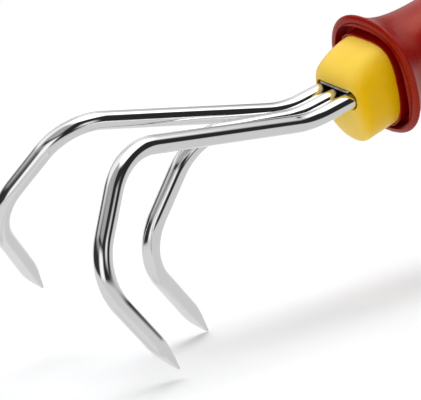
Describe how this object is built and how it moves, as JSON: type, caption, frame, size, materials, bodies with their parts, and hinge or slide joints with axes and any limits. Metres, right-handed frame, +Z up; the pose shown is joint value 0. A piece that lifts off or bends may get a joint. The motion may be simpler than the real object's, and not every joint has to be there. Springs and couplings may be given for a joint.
{
  "type": "hand cultivator",
  "caption": "Hand cultivator with bent round steel tines, a plastic nose block and a soft grip with a flared guard and a hanging hole.",
  "frame": {"origin": "on the ground, under the middle of the tool's box, with the middle tine's point on the ground", "axes": "+X from the tines to the handle's end, +Y from the near tine to the far tine, +Z up; the handle rises 32 degrees towards +X"},
  "size_m": [0.2352, 0.0734, 0.1625],
  "materials": {
    "chrome_rod": "polished",
    "bright_steel": "brushed",
    "yellow_plastic": "semi-gloss",
    "red_grip": "satin",
    "core_plastic": "matte"
  },
  "bodies": {
    "root": {"tine_near": "chrome_rod", "tine_middle": "chrome_rod", "tine_far": "chrome_rod", "tang_plate": "bright_steel", "retaining_pin": "bright_steel", "nose_block": "yellow_plastic", "grip_sleeve": "red_grip", "handle_core": "core_plastic", "end_cap": "yellow_plastic"}
  },
  "joints": []
}
